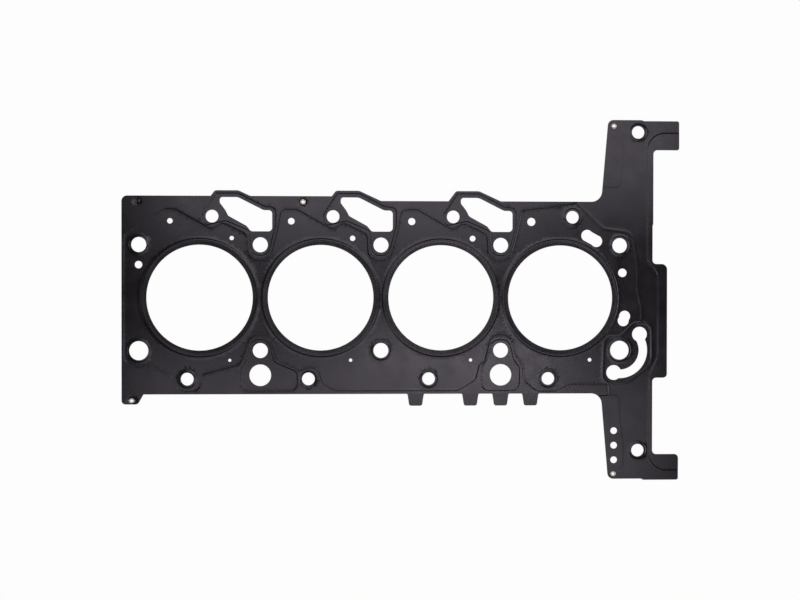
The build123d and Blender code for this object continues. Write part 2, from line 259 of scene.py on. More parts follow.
# ---- paths ----
def rounded_path(corners, step, closed=True):
    """Points along straight runs joined by tangent arcs.

    At a corner with turn angle t and radius r the arc starts r * tan(t / 2) before the
    corner and ends as far behind it; its centre lies r away on the inside of the turn.
    """
    xy = np.array([corner[:2] for corner in corners])
    before = xy - np.roll(xy, 1, axis=0)
    length = np.linalg.norm(before, axis=1)
    before = before / length[:, None]
    after = np.roll(before, -1, axis=0)
    turn = np.arctan2(np.cross(before, after), (before * after).sum(1))
    room = np.minimum(length, np.roll(length, -1)) * ARC_ROOM
    reach = np.minimum([corner[2] for corner in corners] * np.tan(np.abs(turn) / 2), room)
    if not closed:
        reach[[0, -1]] = 0.0
    pieces = []
    last = xy[-1] + after[-1] * reach[-1]
    for k, corner in enumerate(xy):
        start = corner - before[k] * reach[k]
        if closed or k > 0:
            pieces.append(run(last, start, step))
        pieces.append(arc(start, before[k], turn[k], reach[k], step))
        last = corner + after[k] * reach[k]
    if not closed:
        pieces.append(xy[-1:])
    return np.concatenate(pieces)


def run(start, end, step):
    """A straight run from start up to but not including end, in equal steps."""
    count = max(1, int(np.ceil(np.linalg.norm(end - start) / step)))
    share = np.arange(count)[:, None] / count
    return start + (end - start) * share


def arc(start, heading, turn, reach, step):
    """An arc that leaves start along heading and turns by an angle, without its end."""
    if reach < 1e-6 or abs(turn) < 1e-4:
        return np.empty((0, 2))
    radius = reach / np.tan(abs(turn) / 2)
    side = np.array([-heading[1], heading[0]]) * np.sign(turn)
    count = max(3, int(np.ceil(abs(turn) * max(radius / step, MIN_ARC_STEPS))))
    angle = np.arange(count)[:, None] / count * abs(turn)
    return start + radius * (heading * np.sin(angle) + side * (1 - np.cos(angle)))


def circle(place, radius, step):
    """A circle in at least 24 equal steps."""
    count = max(24, int(np.ceil(2 * np.pi * radius / step)))
    return arc_between(place, radius, 0.0, 2 * np.pi, count)


def arc_between(place, radius, start, end, count):
    """Points on a circle between two angles, without the last one."""
    angle = start + (end - start) * np.arange(count) / count
    return np.array(place) + radius * np.stack([np.cos(angle), np.sin(angle)], axis=1)


def grown(corners, growth):
    """The same corners with every side moved out by a distance; outer radii grow with it.

    The sides on both sides of a corner are moved along their normals and crossed again. The
    corners run clockwise, so the outside is on the left of each side.
    """
    xy = np.array([corner[:2] for corner in corners])
    radius = np.array([corner[2] for corner in corners])
    before = xy - np.roll(xy, 1, axis=0)
    before = before / np.linalg.norm(before, axis=1)[:, None]
    after = np.roll(before, -1, axis=0)
    sine = np.cross(before, after)
    cosine = (before * after).sum(1)
    normal = np.stack([-before[:, 1], before[:, 0]], axis=1)
    slide = -np.tan(np.arctan2(sine, cosine) / 2) * growth
    moved = xy + normal * growth + before * slide[:, None]
    radius = np.maximum(radius - np.sign(sine) * growth, 0.0) * (radius > 0)
    return [(x, y, r) for (x, y), r in zip(moved, radius)]


# ---- outlines ----
def hump(index, rear_level, front_level):
    """The rise of the upper edge over a window, from the rear to the front."""
    rear, front = (x - index * PITCH for x in HUMP_ENDS)
    return [
        (rear - (HUMP_TOP - rear_level) * HUMP_REAR_RUN, rear_level, 0.0),
        (rear, HUMP_TOP, 3.0),
        (front, HUMP_TOP, 6.0),
        (front + (HUMP_TOP - front_level) * HUMP_FRONT_RUN, front_level, 4.0),
    ]


def flange_side(y):
    """Rear side of a chain case flange, which leans forward away from the long edges."""
    return FLANGE_ROOT + max(y - UPPER_EDGE, LOWER_EDGE - y) * FLANGE_LEAN


def outline():
    """Corners of the upper sheet's outline, clockwise from the tab at the rear."""
    corners = [
        (REAR_EDGE + 13.3, -87.8, 3.3), (REAR_EDGE, -87.8, 3.3), (REAR_EDGE, UPPER_EDGE_REAR, 4.6),
    ]
    corners += hump(2, UPPER_EDGE_REAR, UPPER_EDGE_REAR)
    corners += hump(1, UPPER_EDGE_REAR, UPPER_EDGE)
    corners += hump(0, UPPER_EDGE, UPPER_EDGE)
    corners += [
        (FLANGE_ROOT, UPPER_EDGE, 9.0), (flange_side(148.1), 148.1, 4.8), (68.0, 148.1, 0.0),
        (70.0, 147.3, 0.0), (99.6, 147.3, 1.8), (99.6, 123.1, 1.8), (77.95, 123.1, 3.3),
        (77.95, 62.0, 0.0), (77.4, 60.0, 0.0), (77.4, 28.3, 3.3), (89.7, 28.3, 4.6),
        (89.7, -66.6, 3.3), (77.4, -66.6, 3.3), (77.4, -130.4, 3.3), (99.3, -130.4, 3.3),
        (99.3, -151.9, 1.8), (70.0, -151.9, 0.0), (68.0, -150.9, 0.0),
        (flange_side(-150.9), -150.9, 4.8), (FLANGE_ROOT, LOWER_EDGE, 9.0),
        (REAR_EDGE + 17.9, LOWER_EDGE, 0.0),
    ]
    return corners


def carrier_outline():
    """The upper sheet's corners set back, with the thickness-code teeth on the lower edge."""
    inset = grown(outline(), -CARRIER_SETBACK)
    side = [(TOOTH_ROOT, inset[-1][1], 0.0)] + TOOTH_SIDE
    teeth = []
    for x in TEETH:
        teeth += [(x + half, y, radius) for half, y, radius in side]
        teeth += [(x - half, y, radius) for half, y, radius in reversed(side)]
    return inset[:-1] + teeth + inset[-1:]


def twin_hole(centres, radius, growth, step):
    """Two round ends joined by a slot: each end is the arc beyond the slot's straight sides.

    The slot's side cuts an end where the sine of the angle from the twin's axis is the
    slot's half width divided by the end's radius.
    """
    first, second = np.array(centres)
    radius = radius + growth
    axis = np.arctan2(*(second - first)[::-1])
    edge = np.arcsin((radius - TWIN_WAIST) / radius)
    count = max(20, int(radius * 2 * (np.pi - edge) / step))
    ends = [
        arc_between(place, radius, heading + edge, heading + 2 * np.pi - edge, count)
        for place, heading in ((first, axis), (second, axis + np.pi))
    ]
    return np.concatenate(ends)


def collar_opening(growth, step):
    """The opening bent round the front dowel: an outer arc, a bulb, an inner arc, a bulb.

    A bulb of radius b whose centre lies D from the dowel meets the arc of radius R where
    the angle from the bulb's centre has the cosine (D^2 + R^2 - b^2) / (2 D R).
    """
    dowel = np.array(DOWELS[0])
    arms = np.array(COLLAR_BULBS) - dowel
    heading = np.arctan2(arms[:, 1], arms[:, 0])
    distance = np.linalg.norm(arms, axis=1)
    bulb = COLLAR_BULB_RADIUS + growth
    inner = COLLAR_RADIUS - growth
    outer = COLLAR_RADIUS + COLLAR_OPENING + growth
    off_outer = np.arccos((distance**2 + outer**2 - bulb**2) / (2 * distance * outer))
    off_inner = np.arccos((distance**2 + inner**2 - bulb**2) / (2 * distance * inner))
    start, end = heading[0] - off_outer[0], heading[1] + off_outer[1]
    outside = arc_between(dowel, outer, start, end, int(outer * (start - end) / step))
    back, front = heading[1] + off_inner[1], heading[0] - off_inner[0]
    inside = arc_between(dowel, inner, back, front, int(inner * (front - back) / step))
    lower = bulb_arc(dowel + arms[1], bulb, dowel + polar(outer, end), inside[0], step)
    upper = bulb_arc(dowel + arms[0], bulb, dowel + polar(inner, front), outside[0], step)
    return np.concatenate([outside, lower, inside, upper])


def polar(radius, angle):
    """A point given by its distance and angle."""
    return radius * np.array([np.cos(angle), np.sin(angle)])


def bulb_arc(centre, radius, start, end, step):
    """Clockwise arc round a bulb's centre from one point to another."""
    first = np.arctan2(*(start - centre)[::-1])
    last = np.arctan2(*(end - centre)[::-1])
    sweep = (first - last) % (2 * np.pi)
    return arc_between(centre, radius, first, first - sweep, int(radius * sweep / step) + 1)


def opening_loops(ease, step):
    """Windows, slots and passages, each grown by an ease, and bolt holes, which aren't."""
    corners = grown(WINDOW, ease)
    window = rounded_path(corners, step)
    loops = [window - (k * PITCH, 0.0) for k in range(CYLINDER_COUNT - 1)]
    loops += [collar_opening(ease, step)]
    loops += [twin_hole(centres, radius, ease, step) for centres, radius in TWIN_HOLES]
    loops += [circle(place, r + ease, step) for r, places in PASSAGES for place in places]
    loops += [circle(place, r, step) for r, places in BOLT_HOLES for place in places]
    return loops


def shared_holes(step):
    """Cylinder, dowel and rivet holes, of one size in both sheets."""
    loops = [circle(place, BORE_RADIUS, step) for place in CYLINDERS]
    loops += [circle(place, DOWEL_HOLE_RADIUS, step) for place in DOWELS]
    loops += [circle(middle(rivet), RIVET_HOLE_RADIUS, step) for rivet in RIVETS]
    return loops


# ---- plan of a sheet ----
def signed_distance(points, loop):
    """Distance to a closed path, negative inside it.

    The distance is the least over its segments. A point is inside when a ray along +X
    crosses an odd number of segments.
    """
    start, end = loop, np.roll(loop, -1, axis=0)
    along = end - start
    size = (along**2).sum(1)
    result = np.empty(len(points))
    for low in range(0, len(points), 4000):
        p = points[low:low + 4000, None, :]
        off = p - start
        share = np.clip((off * along).sum(2) / size, 0.0, 1.0)
        gap = off - share[..., None] * along
        near = np.sqrt((gap**2).sum(2).min(1))
        above = (start[:, 1] > p[..., 1]) != (end[:, 1] > p[..., 1])
        rise = np.where(along[:, 1] == 0.0, 1.0, along[:, 1])
        crossing = start[:, 0] + (p[..., 1] - start[:, 1]) * along[:, 0] / rise
        inside = (above & (p[..., 0] < crossing)).sum(1) % 2 == 1
        result[low:low + 4000] = np.where(inside, -near, near)
    return result


def near_loop(points, loop, margin):
    """Which points lie within a margin of a path's box."""
    low, high = loop.min(0) - margin, loop.max(0) + margin
    return ((points > low) & (points < high)).all(1)


def zone(points, loop, margin=2.0):
    """Signed distance near a closed path, and the margin everywhere else."""
    result = np.full(len(points), margin)
    near = near_loop(points, loop, margin)
    result[near] = signed_distance(points[near], loop)
    return result


def keep_on_sheet(points, loops, margin):
    """Points inside the first loop, outside the others, and a margin away from all."""
    points = points[signed_distance(points, loops[0]) < -margin]
    for loop in loops[1:]:
        points = points[zone(points, loop, margin + 1.0) > margin]
    return points


def thin_out(sets, spacing=0.1):
    """Drops from each later set the points that crowd those already kept.

    Kept points are marked on a fine raster, each with a disc of its set's clearance.
    """
    every = np.concatenate([points for points, _ in sets])
    border = 5.0
    low = every.min(0) - border
    size = np.ceil((every.max(0) + border - low) / spacing)
    taken = np.zeros(size.astype(int) + 1, bool)
    kept = []
    for points, clearance in sets:
        cell = np.round((points - low) / spacing).astype(int)
        free = ~taken[cell[:, 0], cell[:, 1]]
        points, cell = points[free], cell[free]
        cells = int(clearance / spacing)
        offsets = np.stack(np.meshgrid(*[np.arange(-cells, cells + 1)] * 2), -1).reshape(-1, 2)
        offsets = offsets[(offsets**2).sum(1) <= cells**2]
        spots = (cell[:, None] + offsets).reshape(-1, 2)
        taken[spots[:, 0], spots[:, 1]] = True
        kept.append(points)
    return kept


def rows_beside(path, offsets):
    """Copies of a closed path shifted sideways along its own normals."""
    heading = np.roll(path, -1, axis=0) - np.roll(path, 1, axis=0)
    heading = heading / np.linalg.norm(heading, axis=1)[:, None]
    normal = np.stack([-heading[:, 1], heading[:, 0]], axis=1)
    return np.concatenate([path + normal * offset for offset in offsets])


def filler(loop, pitch):
    """A triangular grid of points over a loop's box."""
    low, high = loop.min(0), loop.max(0)
    x, y = np.meshgrid(
        np.arange(low[0], high[0], pitch), np.arange(low[1], high[1], pitch * np.sqrt(0.75))
    )
    x = x + (np.arange(len(x)) % 2)[:, None] * pitch / 2
    return np.stack([x.ravel(), y.ravel()], axis=1)


def triangles_of(loops, inner):
    """Triangles of the plan between the first loop and the others, counter-clockwise.

    A constrained Delaunay triangulation; triangles whose middle is off the sheet go.
    """
    points = np.concatenate(loops + [inner])
    edges = []
    first = 0
    for loop in loops:
        index = np.arange(len(loop))
        edges.append(np.stack([index, np.roll(index, -1)], axis=1) + first)
        first += len(loop)
    edges = np.concatenate(edges)
    found = delaunay_2d_cdt(points.tolist(), edges.tolist(), [], 0, 1e-6)
    if len(found[0]) != len(points):
        raise RuntimeError("two lines of the sheet's plan cross or touch")
    triangles = np.array(found[2])
    corner = points[triangles]
    centre = corner.mean(1)
    on_sheet = signed_distance(centre, loops[0]) < 0
    for loop in loops[1:]:
        on_sheet &= zone(centre, loop, 1.0) > 0
    turned = np.cross(corner[:, 1] - corner[:, 0], corner[:, 2] - corner[:, 0]) < 0
    triangles[turned] = triangles[turned][:, ::-1]
    return points, triangles[on_sheet]


def sheet_mesh(name, loops, inner, top, bottom):
    """A closed sheet: a top and a bottom skin over one plan, and walls along its loops.

    top and bottom give the height of each skin at the plan's points.
    """
    points, triangles = triangles_of(loops, inner)
    count = len(points)
    upper = np.column_stack([points, top(points)])
    lower = np.column_stack([points, bottom(points)])
    walls = []
    first = 0
    for number, loop in enumerate(loops):
        index = np.arange(len(loop)) + first
        following = np.roll(index, -1)
        area = np.cross(loop, np.roll(loop, -1, axis=0)).sum()
        if (area > 0) != (number == 0):
            index, following = following, index
        walls.append(np.stack([index + count, following + count, following, index], axis=1))
        first += len(loop)
    walls = np.concatenate(walls)
    skins = np.concatenate([triangles, triangles[:, ::-1] + count])
    return new_piece(name, np.concatenate([upper, lower]), [skins, walls])


def new_piece(name, vertices, face_sets, sharp=SHARP_EDGE):
    """A mesh object from vertices in millimetres and arrays of triangles and quads."""
    mesh = bpy.data.meshes.new(name)
    corners = np.concatenate([faces.ravel() for faces in face_sets])
    sizes = np.concatenate([np.full(len(faces), faces.shape[1]) for faces in face_sets])
    mesh.vertices.add(len(vertices))
    mesh.vertices.foreach_set("co", (vertices * MM).ravel())
    mesh.loops.add(len(corners))
    mesh.loops.foreach_set("vertex_index", corners)
    mesh.polygons.add(len(sizes))
    mesh.polygons.foreach_set("loop_start", np.concatenate([[0], np.cumsum(sizes)[:-1]]))
    mesh.polygons.foreach_set("use_smooth", np.ones(len(sizes), bool))
    mesh.update(calc_edges=True)
    mesh.validate()
    mesh.set_sharp_from_angle(angle=sharp)
    piece = bpy.data.objects.new(name, mesh)
    bpy.context.scene.collection.objects.link(piece)
    return piece


def turned_piece(name, place, profile, count):
    """A closed ring: a profile of (radius, height) points carried round a vertical axis.

    The point of profile step i and turn step j is (r_i cos a_j, r_i sin a_j, z_i), moved to
    the axis.
    """
    profile = np.array(profile)
    angle = 2 * np.pi * np.arange(count) / count
    x = place[0] + np.outer(np.cos(angle), profile[:, 0])
    y = place[1] + np.outer(np.sin(angle), profile[:, 0])
    z = np.tile(profile[:, 1], (count, 1))
    step, turn = np.meshgrid(np.arange(len(profile)), np.arange(count))
    step_on, turn_on = (step + 1) % len(profile), (turn + 1) % count
    size = len(profile)
    corners = [(turn, step), (turn, step_on), (turn_on, step_on), (turn_on, step)]
    quads = np.stack([j * size + i for j, i in corners], axis=-1).reshape(-1, 4)
    vertices = np.stack([x, y, z], axis=-1).reshape(-1, 3)
    return new_piece(name, vertices, [quads], RING_SHARP_EDGE)


# ---- pressed form of the upper sheet ----
def smooth(value):
    """0 below 0, 1 above 1, and a curve without kinks between them: t^2 (3 - 2 t)."""
    value = np.clip(value, 0.0, 1.0)
    return value * value * (3 - 2 * value)


def ridge(distance, crest, foot):
    """1 up to the crest's half width, falling smoothly to 0 at the foot."""
    return 1 - smooth((distance - crest) / (foot - crest))


def wet_zones(step):
    """Closed lines whose inside lies on the carrier; outside them the sheet is raised."""
    top_line = COOLANT_REAR + [shifted(TOP_LINE_PEAK[1], CYLINDER_COUNT - 1)]
    for k in reversed(range(CYLINDER_COUNT - 1)):
        top_line += [shifted(corner, k) for corner in TOP_LINE_DIP]
        if k:
            top_line += [shifted(corner, k) for corner in TOP_LINE_PEAK]
    around = top_line + COOLANT_FRONT + AROUND_UPPER_FLANGE + TIMING_LINE
    around += AROUND_LOWER_FLANGE + BOTTOM_LINE
    loops = [rounded_path(around, step)]
    window_loop = rounded_path(WINDOW_LOOP, step)
    loops += [window_loop - (k * PITCH, 0.0) for k in range(CYLINDER_COUNT - 1)]
    loops += [rounded_path(corners, step) for corners in (REAR_OIL_LOOP, FRONT_OIL_LOOP)]
    return loops


def shifted(corner, cylinders):
    """A corner moved towards the rear by a number of cylinders."""
    return (corner[0] - cylinders * PITCH, *corner[1:])


def pressed_height(points, sizes, lines):
    """Height of the upper sheet's top over its flat level on the carrier.

    Half beads are smooth steps of the signed distance to a zone's line. The collar's and the
    chain side's beads are ridges of the distance to their crest. Round a cylinder the height is
    one of the radius alone: a rim that stands on the stopper ring and rises slowly, a slope up
    to the bead's crest, and a slope down from its far edge.
    """
    half = sizes.half_bead_width / MM / 2
    step_height = sizes.half_bead_height / MM
    raised = np.ones(len(points))
    for line in lines["zones"]:
        raised = np.minimum(raised, smooth((zone(points, line) + half) / (2 * half)))
    for line in lines["strips"]:
        strip = 1 - smooth((zone(points, line) + half) / (2 * half))
        raised = np.maximum(raised, strip * STRIP_SHARE)
    for radius, place in lines["rings"]:
        distance = np.hypot(*(points - place).T) - radius
        raised = np.maximum(raised, 1 - smooth((distance + half) / (2 * half)))
    for radius, slope, place in lines["seats"]:
        distance = np.hypot(*(points - place).T) - radius
        raised = np.minimum(raised, smooth((distance + slope) / (2 * slope)))
    height = raised * step_height
    for path, bead_height in lines["beads"]:
        near = near_loop(points, path, LOW_BEAD_REACH)
        distance = np.abs(signed_distance(points[near], path))
        bead = bead_height * ridge(distance, LOW_BEAD_CREST, LOW_BEAD_FOOT)
        height[near] = np.maximum(height[near], bead)
    rim = STOPPER_TOP - CARRIER_TOP
    crest = CREST_TOP - CARRIER_TOP - SHEET_THICKNESS
    foot, rise = sizes.bead_foot / MM, sizes.bead_rise / MM
    lift = sizes.rim_rise / MM
    far, fall = sizes.bead_far / MM, sizes.bead_fall / MM
    for place in CYLINDERS:
        r = np.hypot(*(points - place).T)
        slanted = rim + lift * np.clip((r - BORE_RADIUS) / (foot - BORE_RADIUS), 0.0, 1.0)
        inner = slanted + (crest - rim - lift) * smooth((r - foot) / rise)
        outer = crest * (1 - smooth((r - far) / fall))
        height = np.where(r < far + fall, np.where(r < far, inner, outer), height)
    return height


# ---- sizes and colours a user may change ----
class GasketSizes(bpy.types.PropertyGroup):
    """Sizes of the pressed form."""

    half_bead_height: bpy.props.FloatProperty(
        name="Half bead height", description="Step between the raised and the low parts",
        default=0.28 * MM, min=0.0, unit="LENGTH", precision=5,
    )
    half_bead_width: bpy.props.FloatProperty(
        name="Half bead width", description="Width of the slope of a half bead",
        default=1.1 * MM, min=0.1 * MM, unit="LENGTH", precision=5,
    )
    collar_bead_height: bpy.props.FloatProperty(
        name="Collar bead height", description="Height of the bead round the front dowel",
        default=0.12 * MM, min=0.0, unit="LENGTH", precision=5,
    )
    chain_bead_height: bpy.props.FloatProperty(
        name="Chain side bead height", description="Height of the bead beside the chain case",
        default=0.06 * MM, min=0.0, unit="LENGTH", precision=5,
    )
    rim_rise: bpy.props.FloatProperty(
        name="Rim rise", description="How far a cylinder's rim rises from the hole to the bead",
        default=0.066 * MM, min=0.0, unit="LENGTH", precision=5,
    )
    bead_foot: bpy.props.FloatProperty(
        name="Bead foot", description="Where a cylinder's bead starts, from its axis",
        default=45.6 * MM, unit="LENGTH", precision=5,
    )
    bead_rise: bpy.props.FloatProperty(
        name="Bead rise", description="Width of the slope next to the cylinder",
        default=2.3 * MM, min=0.1 * MM, unit="LENGTH", precision=5,
    )
    bead_far: bpy.props.FloatProperty(
        name="Bead far edge", description="Where a cylinder's bead starts to fall, from its axis",
        default=47.95 * MM, unit="LENGTH", precision=5,
    )
    bead_fall: bpy.props.FloatProperty(
        name="Bead fall", description="Width of the slope away from the cylinder",
        default=1.5 * MM, min=0.1 * MM, unit="LENGTH", precision=5,
    )


class GasketFinish(bpy.types.PropertyGroup):
    """Colours and sheen of the coating and the steel."""

    coating: bpy.props.FloatVectorProperty(
        name="Coating", description="Colour of the rubber coating", subtype="COLOR",
        default=(0.0038, 0.0034, 0.0043), min=0.0, max=1.0,
    )
    coating_worn: bpy.props.FloatVectorProperty(
        name="Coating, lighter", description="Colour where the coating is thin",
        subtype="COLOR", default=(0.0062, 0.0055, 0.0066), min=0.0, max=1.0,
    )
    coating_roughness: bpy.props.FloatProperty(
        name="Coating roughness", description="Roughness of the upper sheet's coating",
        subtype="FACTOR", default=0.18, min=0.0, max=1.0,
    )
    carrier_roughness: bpy.props.FloatProperty(
        name="Carrier roughness", description="Roughness of the carrier's coating",
        subtype="FACTOR", default=0.23, min=0.0, max=1.0,
    )
    coating_sheen: bpy.props.FloatVectorProperty(
        name="Coating sheen", description="Tint of the coating's reflections", subtype="COLOR",
        default=(0.95, 0.86, 1.0), min=0.0, max=1.0,
    )
    steel: bpy.props.FloatVectorProperty(
        name="Steel", description="Colour of rings and rivets", subtype="COLOR",
        default=(0.66, 0.62, 0.50), min=0.0, max=1.0,
    )
    stopper_roughness: bpy.props.FloatProperty(
        name="Stopper roughness", description="Roughness of the stopper rings",
        subtype="FACTOR", default=0.30, min=0.0, max=1.0,
    )
    rivet_roughness: bpy.props.FloatProperty(
        name="Rivet roughness", description="Roughness of the rivets", subtype="FACTOR",
        default=0.34, min=0.0, max=1.0,
    )


class GasketStage(bpy.types.PropertyGroup):
    """Light and floor."""

    lamp_strength: bpy.props.FloatProperty(
        name="Lamp strength", description="Share of the overhead lamps' power", default=1.0,
        min=0.0,
    )
    wall_light: bpy.props.FloatProperty(
        name="Wall light", description="Strength of the light from the pale walls",
        default=0.75, min=0.0,
    )
    ceiling_light: bpy.props.FloatProperty(
        name="Ceiling light", description="Strength of the light from the dark ceiling",
        default=0.05, min=0.0,
    )
    floor: bpy.props.FloatVectorProperty(
        name="Floor", description="Colour of the floor", subtype="COLOR",
        default=(0.90, 0.90, 0.90), min=0.0, max=1.0,
    )


# ---- finishes ----
STEEL_SHADE = 0.72  # the steel's darker patches, as a share of its colour
UNEVEN_COATING = 0.035  # how far its roughness wanders either way


def new_finish(name):
    """An empty material with its node tree, its surface shader and object coordinates."""
    material = bpy.data.materials.new(name)
    material.use_nodes = True
    nodes = material.node_tree.nodes
    shader = nodes["Principled BSDF"]
    place = nodes.new("ShaderNodeTexCoord")
    return material, nodes, material.node_tree.links, shader, place.outputs["Object"]


def noise(nodes, links, place, scale, detail, roughness=0.5):
    """A noise pattern; scale counts its features per metre."""
    node = nodes.new("ShaderNodeTexNoise")
    node.inputs["Scale"].default_value = scale
    node.inputs["Detail"].default_value = detail
    node.inputs["Roughness"].default_value = roughness
    links.new(place, node.inputs["Vector"])
    return node.outputs["Fac"]


def levels(nodes, links, value, low, high, to_low, to_high, curve="LINEAR"):
    """Maps a value's range to another range, clamped."""
    node = nodes.new("ShaderNodeMapRange")
    node.interpolation_type = curve
    for socket, number in zip(range(1, 5), (low, high, to_low, to_high)):
        node.inputs[socket].default_value = number
    links.new(value, node.inputs["Value"])
    return node.outputs["Result"]


def blend(nodes, links, share, first, second):
    """Mixes two colours by a share."""
    node = nodes.new("ShaderNodeMix")
    node.data_type = "RGBA"
    for socket in node.inputs:
        if socket.identifier == "A_Color":
            socket.default_value = (*first, 1.0)
        if socket.identifier == "B_Color":
            socket.default_value = (*second, 1.0)
        if socket.identifier == "Factor_Float":
            links.new(share, socket)
    return next(s for s in node.outputs if s.identifier == "Result_Color")


def coating_finish(name, finish, roughness):
    """Black rubber coating rolled on steel: cloudy tone, fine grain and a soft sheen."""
    material, nodes, links, shader, place = new_finish(name)
    clouds = noise(nodes, links, place, scale=18.0, detail=3.0)
    share = levels(nodes, links, clouds, 0.35, 0.68, 0.0, 1.0)
    colour = blend(nodes, links, share, finish.coating, finish.coating_worn)
    links.new(colour, shader.inputs["Base Color"])
    shader.inputs["Specular Tint"].default_value = (*finish.coating_sheen, 1.0)
    patches = noise(nodes, links, place, scale=55.0, detail=4.0, roughness=0.6)
    spread = (roughness - UNEVEN_COATING, roughness + UNEVEN_COATING)
    uneven = levels(nodes, links, patches, 0.3, 0.7, *spread)
    links.new(uneven, shader.inputs["Roughness"])
    grain = noise(nodes, links, place, scale=2600.0, detail=2.0)
    bump = nodes.new("ShaderNodeBump")
    bump.inputs["Strength"].default_value = 0.05
    bump.inputs["Distance"].default_value = 0.00004
    links.new(grain, bump.inputs["Height"])
    links.new(bump.outputs["Normal"], shader.inputs["Normal"])
    return material


def steel_finish(name, finish, roughness):
    """Bare or plated steel with a turned, slightly uneven surface."""
    material, nodes, links, shader, place = new_finish(name)
    shader.inputs["Metallic"].default_value = 1.0
    patches = noise(nodes, links, place, scale=900.0, detail=3.0)
    darker = tuple(part * STEEL_SHADE for part in finish.steel)
    share = levels(nodes, links, patches, 0.35, 0.7, 0.0, 1.0)
    links.new(blend(nodes, links, share, finish.steel, darker), shader.inputs["Base Color"])
    uneven = levels(nodes, links, patches, 0.3, 0.7, roughness - 0.06, roughness + 0.08)
    links.new(uneven, shader.inputs["Roughness"])
    return material


def finish_piece(piece, material, slot, *nodes):
    """Gives a piece its material and body, and hides the nodes it stands for."""
    piece.data.materials.append(material)
    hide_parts(*nodes)
    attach(piece, BODY)


# ---- pieces ----
class GASKET_OT_carrier(bpy.types.Operator):
    """Makes the carrier sheet with its eased openings and its thickness-code teeth."""

    bl_idname = "gasket.carrier"
    bl_label = "Carrier sheet"

    def execute(self, context):
        loops = [rounded_path(carrier_outline(), CARRIER_LINE_STEP)]
        loops += opening_loops(CARRIER_EASE, CARRIER_OPENING_STEP) + shared_holes(HOLE_STEP)
        inner = keep_on_sheet(filler(loops[0], CARRIER_GRID), loops, CARRIER_GRID_MARGIN)
        piece = sheet_mesh(
            "carrier_plate", loops, inner,
            lambda points: np.full(len(points), CARRIER_TOP),
            lambda points: np.zeros(len(points)),
        )
        finish = context.scene.gasket_finish
        material = coating_finish("carrier_coating", finish, finish.carrier_roughness)
        finish_piece(piece, material, "carrier_coating", "carrier_sheet")
        return {"FINISHED"}


class GASKET_OT_beaded_sheet(bpy.types.Operator):
    """Makes the upper sheet with its cylinder beads, half beads and punched openings."""

    bl_idname = "gasket.beaded_sheet"
    bl_label = "Beaded sheet"

    def execute(self, context):
        sizes = context.scene.gasket_sizes
        lines = self.pressed_lines(sizes)
        loops = [rounded_path(outline(), LINE_STEP)]
        loops += opening_loops(0.0, OPENING_STEP) + shared_holes(HOLE_STEP)
        inner = self.inner_points(loops, lines, sizes)
        flat = CARRIER_TOP + SHEET_THICKNESS
        piece = sheet_mesh(
            "pressed_sheet", loops, inner,
            lambda points: flat + pressed_height(points, sizes, lines),
            lambda points: CARRIER_TOP + pressed_height(points, sizes, lines),
        )
        finish = context.scene.gasket_finish
        material = coating_finish("black_coating", finish, finish.coating_roughness)
        finish_piece(piece, material, "black_coating", "beaded_sheet")
        return {"FINISHED"}

    def pressed_lines(self, sizes):
        """Every pressed line as a path, and the round ones as radius and place."""
        chain = rounded_path(CHAIN_BEAD, LINE_STEP, closed=False)
        # A closed path has an inside, so the open line runs back just beside itself.
        there_and_back = np.concatenate([chain, chain[-2:0:-1] + 1e-4])
        return {
            "zones": wet_zones(LINE_STEP),
            "strips": [rounded_path(corners, LINE_STEP) for corners in FLANGE_STRIPS],
            "rings": [(radius, place) for radius, places in RINGS for place in places],
            "seats": [BOLT_SEAT, PUNCH_MARK] + [(*RIVET_SEAT, middle(rivet)) for rivet in RIVETS],
            "beads": [
                (rounded_path(COLLAR_BEAD, LINE_STEP), sizes.collar_bead_height / MM),
                (there_and_back, sizes.chain_bead_height / MM),
            ],
        }

    def inner_points(self, loops, lines, sizes):
        """Points on the sheet: rows across each pressed line, then a grid between them."""
        half = sizes.half_bead_width / MM / 2
        sets = [(loop, LOOP_CLEARANCE) for loop in loops]
        bore_rows = np.concatenate([
            [RIM_ROW],
            sizes.bead_foot / MM + sizes.bead_rise / MM * np.linspace(0, 1, RISE_ROWS),
            sizes.bead_far / MM + sizes.bead_fall / MM * np.linspace(0, 1, FALL_ROWS),
        ])
        rows = [circle(place, r, RING_STEP) for place in CYLINDERS for r in bore_rows]
        for path, _ in lines["beads"]:
            rows += [rows_beside(path, offsets) for offsets in ACROSS_LOW_BEAD]
        for line in lines["zones"] + lines["strips"]:
            rows.append(rows_beside(line, ACROSS_LINE * half))
        round_lines = [(radius, half, place) for radius, place in lines["rings"]]
        for radius, slope, place in round_lines + lines["seats"]:
            offsets = ACROSS_LINE * slope
            rows += [circle(place, radius + offset, LINE_STEP) for offset in offsets]
        for points in rows:
            sets.append((keep_on_sheet(points, loops, ROW_MARGIN), ROW_CLEARANCE))
        sets.append((keep_on_sheet(filler(loops[0], GRID), loops, GRID_MARGIN), 0.0))
        kept = thin_out(sets)
        return np.concatenate(kept[len(loops):])


class GASKET_OT_stoppers(bpy.types.Operator):
    """Makes the flat stopper ring under the rim of each cylinder."""

    bl_idname = "gasket.stoppers"
    bl_label = "Combustion stoppers"

    def execute(self, context):
        finish = context.scene.gasket_finish
        material = steel_finish("stopper_steel", finish, finish.stopper_roughness)
        inner, outer = BORE_RADIUS + STOPPER_SETBACK, STOPPER_RADIUS
        low, high = CARRIER_TOP, STOPPER_TOP
        ease = 0.02
        profile = [
            (inner, low + ease), (inner + ease, low), (outer - ease, low), (outer, low + ease),
            (outer, high - ease), (outer - ease, high), (inner + ease, high), (inner, high - ease),
        ]
        for node in STOPPERS:
            ring = turned_piece(f"{node}_ring", middle(node), profile, STOPPER_STEPS)
            finish_piece(ring, material, "stopper_steel", node)
        return {"FINISHED"}


